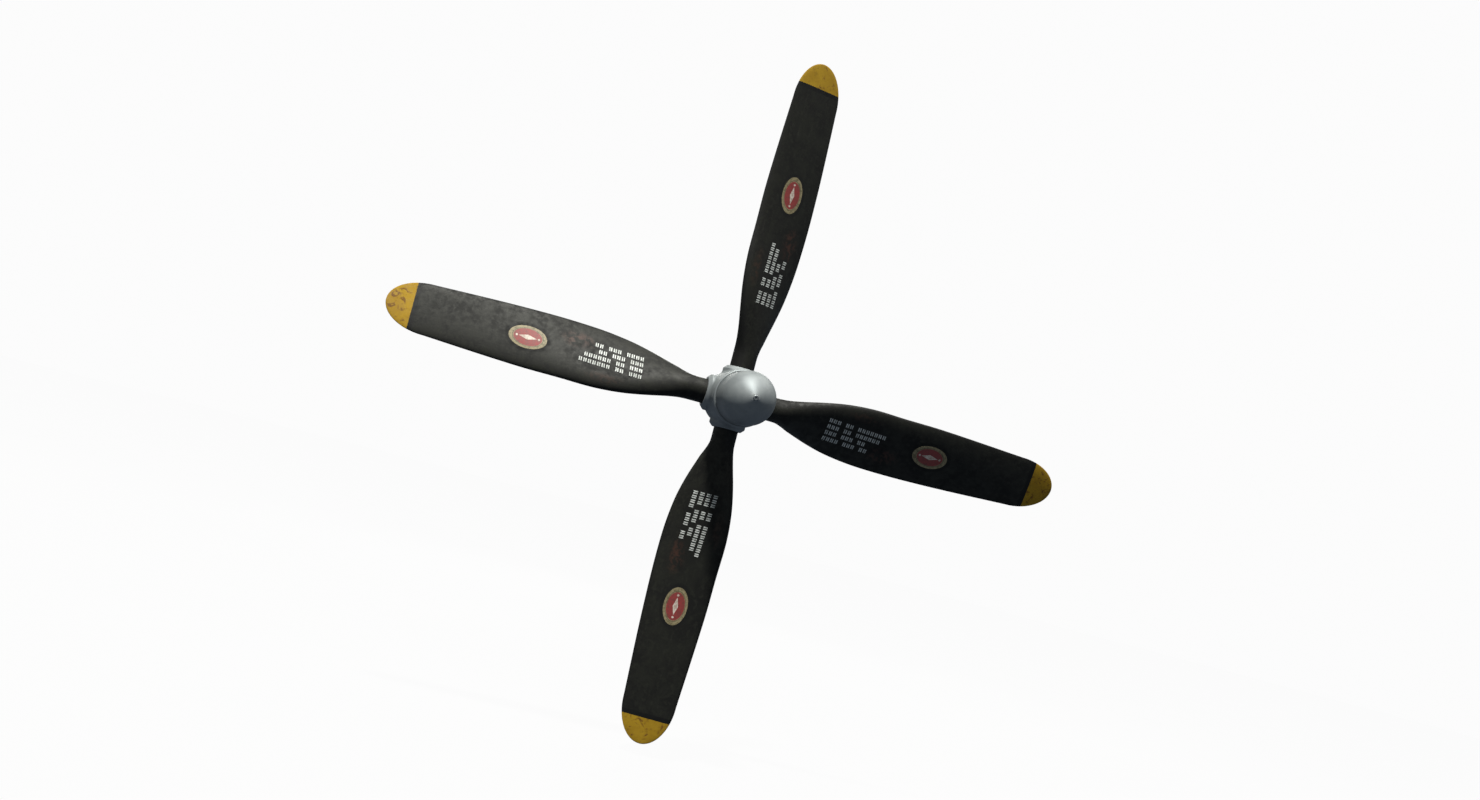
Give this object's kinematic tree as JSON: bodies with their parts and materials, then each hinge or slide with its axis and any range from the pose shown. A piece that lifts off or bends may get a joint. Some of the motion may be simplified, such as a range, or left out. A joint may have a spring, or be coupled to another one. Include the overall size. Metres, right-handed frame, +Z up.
{
  "type": "aircraft propeller",
  "caption": "Controllable-pitch metal aircraft propeller: black paddle blades with yellow tips, a grey barrel hub and a long pointed hydraulic dome.",
  "frame": {"origin": "on the shaft axis, where the axes of the blades cross it", "axes": "the dome points along -Y and the engine is on the +Y side; the blades lie along +X, +Z, -X and -Z; +Z up"},
  "size_m": [3.708, 0.632, 3.708],
  "materials": {
    "blade_finish": "matt black paint over aluminium alloy, yellow at the tip",
    "hub_paint": "satin blue-grey paint",
    "steel": "machined steel",
    "gear_steel": "hardened and oiled steel",
    "bronze": "bearing bronze",
    "alloy": "bare machined alloy",
    "seal_rubber": "oil-resistant packing"
  },
  "bodies": {
    "hub": {"blade_seal_1": "seal_rubber", "blade_seal_2": "seal_rubber", "blade_seal_3": "seal_rubber", "blade_seal_4": "seal_rubber", "barrel_bolt_1": "steel", "barrel_bolt_2": "steel", "barrel_bolt_3": "steel", "barrel_bolt_4": "steel", "barrel_bolt_5": "steel", "barrel_bolt_6": "steel", "barrel_bolt_7": "steel", "barrel_bolt_8": "steel", "barrel_front": "hub_paint", "barrel_rear": "hub_paint", "dome_shell": "hub_paint", "dome_nut": "hub_paint", "dome_plug": "steel", "spider": "steel", "spider_seal": "seal_rubber", "dome_seal": "seal_rubber", "rear_cone": "bronze", "front_cone_upper": "steel", "front_cone_lower": "steel", "shaft_nut": "steel", "distributor_valve": "alloy", "fixed_cam": "gear_steel", "cam_bearing_rear": "bronze", "cam_bearing_front": "bronze"},
    "blade_1": {"blade_1": "blade_finish", "blade_bushing_1": "bronze", "blade_gear_1": "gear_steel", "thrust_washer_1": "steel"},
    "blade_2": {"blade_2": "blade_finish", "blade_bushing_2": "bronze", "blade_gear_2": "gear_steel", "thrust_washer_2": "steel"},
    "blade_3": {"blade_3": "blade_finish", "blade_bushing_3": "bronze", "blade_gear_3": "gear_steel", "thrust_washer_3": "steel"},
    "blade_4": {"blade_4": "blade_finish", "blade_bushing_4": "bronze", "blade_gear_4": "gear_steel", "thrust_washer_4": "steel"},
    "thrust_bearing_1": {"thrust_bearing_1": "steel"},
    "thrust_bearing_2": {"thrust_bearing_2": "steel"},
    "thrust_bearing_3": {"thrust_bearing_3": "steel"},
    "thrust_bearing_4": {"thrust_bearing_4": "steel"},
    "turning_cam": {"turning_cam": "gear_steel"},
    "piston": {"piston": "alloy", "piston_ring": "seal_rubber", "roller_shaft_1": "steel", "roller_shaft_2": "steel", "roller_shaft_3": "steel", "roller_shaft_4": "steel"},
    "cam_roller_1": {"cam_roller_1": "steel"},
    "cam_roller_2": {"cam_roller_2": "steel"},
    "cam_roller_3": {"cam_roller_3": "steel"},
    "cam_roller_4": {"cam_roller_4": "steel"}
  },
  "joints": [
    {"name": "blade_1_pitch", "type": "hinge", "parent": "hub", "child": "blade_1", "pos_m": [0, 0, 0], "axis": [1, 0, 0], "range_deg": [0, 42]},
    {"name": "blade_2_pitch", "type": "hinge", "parent": "hub", "child": "blade_2", "pos_m": [0, 0, 0], "axis": [0, 0, 1], "range_deg": [0, 42]},
    {"name": "blade_3_pitch", "type": "hinge", "parent": "hub", "child": "blade_3", "pos_m": [0, 0, 0], "axis": [-1, 0, 0], "range_deg": [0, 42]},
    {"name": "blade_4_pitch", "type": "hinge", "parent": "hub", "child": "blade_4", "pos_m": [0, 0, 0], "axis": [0, 0, -1], "range_deg": [0, 42]},
    {"name": "thrust_bearing_1_turn", "type": "hinge", "parent": "hub", "child": "thrust_bearing_1", "pos_m": [0, 0, 0], "axis": [1, 0, 0], "range_deg": [0, 21]},
    {"name": "thrust_bearing_2_turn", "type": "hinge", "parent": "hub", "child": "thrust_bearing_2", "pos_m": [0, 0, 0], "axis": [0, 0, 1], "range_deg": [0, 21]},
    {"name": "thrust_bearing_3_turn", "type": "hinge", "parent": "hub", "child": "thrust_bearing_3", "pos_m": [0, 0, 0], "axis": [-1, 0, 0], "range_deg": [0, 21]},
    {"name": "thrust_bearing_4_turn", "type": "hinge", "parent": "hub", "child": "thrust_bearing_4", "pos_m": [0, 0, 0], "axis": [0, 0, -1], "range_deg": [0, 21]},
    {"name": "cam_turn", "type": "hinge", "parent": "hub", "child": "turning_cam", "pos_m": [0, 0, 0], "axis": [0, 1, 0], "range_deg": [0, 31.5]},
    {"name": "piston_slide", "type": "slide", "parent": "hub", "child": "piston", "axis": [0, -1, 0], "range_m": [0, 0.06001]},
    {"name": "cam_roller_1_roll", "type": "hinge", "parent": "piston", "child": "cam_roller_1", "pos_m": [0, -0.165, 0], "axis": [0.7071, 0, 0.7071], "range_deg": [0, 312.52]},
    {"name": "cam_roller_2_roll", "type": "hinge", "parent": "piston", "child": "cam_roller_2", "pos_m": [0, -0.165, 0], "axis": [-0.7071, 0, 0.7071], "range_deg": [0, 312.52]},
    {"name": "cam_roller_3_roll", "type": "hinge", "parent": "piston", "child": "cam_roller_3", "pos_m": [0, -0.165, 0], "axis": [-0.7071, 0, -0.7071], "range_deg": [0, 312.52]},
    {"name": "cam_roller_4_roll", "type": "hinge", "parent": "piston", "child": "cam_roller_4", "pos_m": [0, -0.165, 0], "axis": [0.7071, 0, -0.7071], "range_deg": [0, 312.52]}
  ],
  "couplings": [
    {"joint": "blade_2_pitch", "follows": "blade_1_pitch", "ratio": 1},
    {"joint": "blade_3_pitch", "follows": "blade_1_pitch", "ratio": 1},
    {"joint": "blade_4_pitch", "follows": "blade_1_pitch", "ratio": 1},
    {"joint": "thrust_bearing_1_turn", "follows": "blade_1_pitch", "ratio": 0.5},
    {"joint": "thrust_bearing_2_turn", "follows": "blade_1_pitch", "ratio": 0.5},
    {"joint": "thrust_bearing_3_turn", "follows": "blade_1_pitch", "ratio": 0.5},
    {"joint": "thrust_bearing_4_turn", "follows": "blade_1_pitch", "ratio": 0.5},
    {"joint": "cam_turn", "follows": "blade_1_pitch", "ratio": 0.75},
    {"joint": "piston_slide", "follows": "blade_1_pitch", "m_per_rad": 0.081851},
    {"joint": "cam_roller_1_roll", "follows": "blade_1_pitch", "ratio": 7.441},
    {"joint": "cam_roller_2_roll", "follows": "blade_1_pitch", "ratio": 7.441},
    {"joint": "cam_roller_3_roll", "follows": "blade_1_pitch", "ratio": 7.441},
    {"joint": "cam_roller_4_roll", "follows": "blade_1_pitch", "ratio": 7.441}
  ]
}
